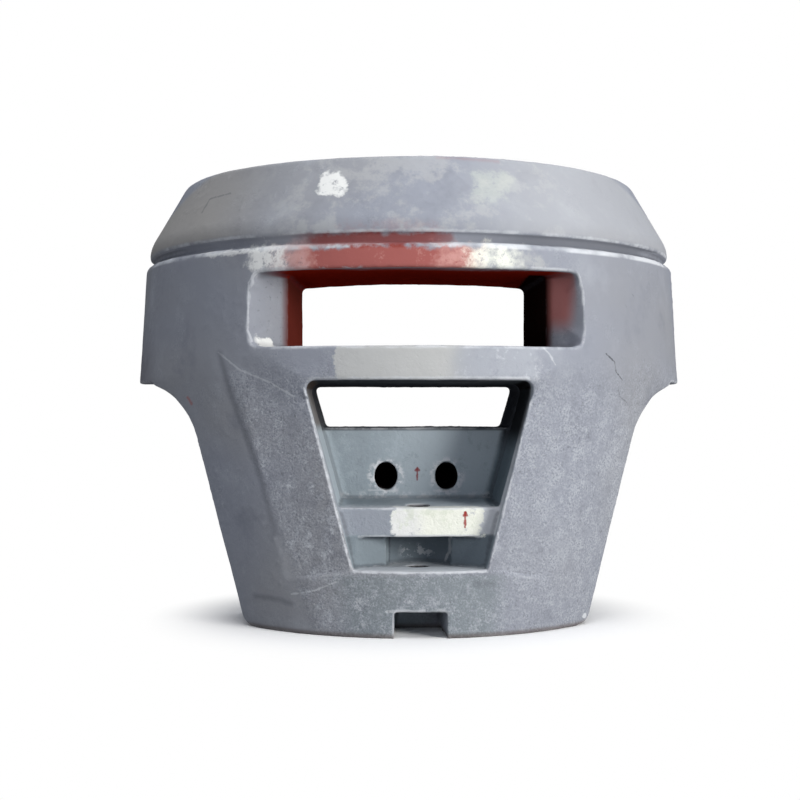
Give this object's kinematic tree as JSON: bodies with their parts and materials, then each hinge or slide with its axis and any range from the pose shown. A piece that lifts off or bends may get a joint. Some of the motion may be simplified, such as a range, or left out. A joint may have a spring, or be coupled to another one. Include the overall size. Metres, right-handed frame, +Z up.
{
  "type": "forklift counterweight",
  "caption": "Cast iron rear counterweight of a lift truck: rounded drum with wings, leaning top band over a groove, air windows, bolt recess and tow jaw.",
  "frame": {"origin": "middle of the bounding box's underside, on the floor under the casting", "axes": "+X across the truck, +Y towards the truck, +Z up; the rear face looks along -Y"},
  "size_m": [1.1594, 0.5598, 0.876],
  "materials": {
    "casting": "rough cast skin under patchy grey primer"
  },
  "bodies": {
    "root": {"counterweight": "casting"}
  },
  "joints": []
}
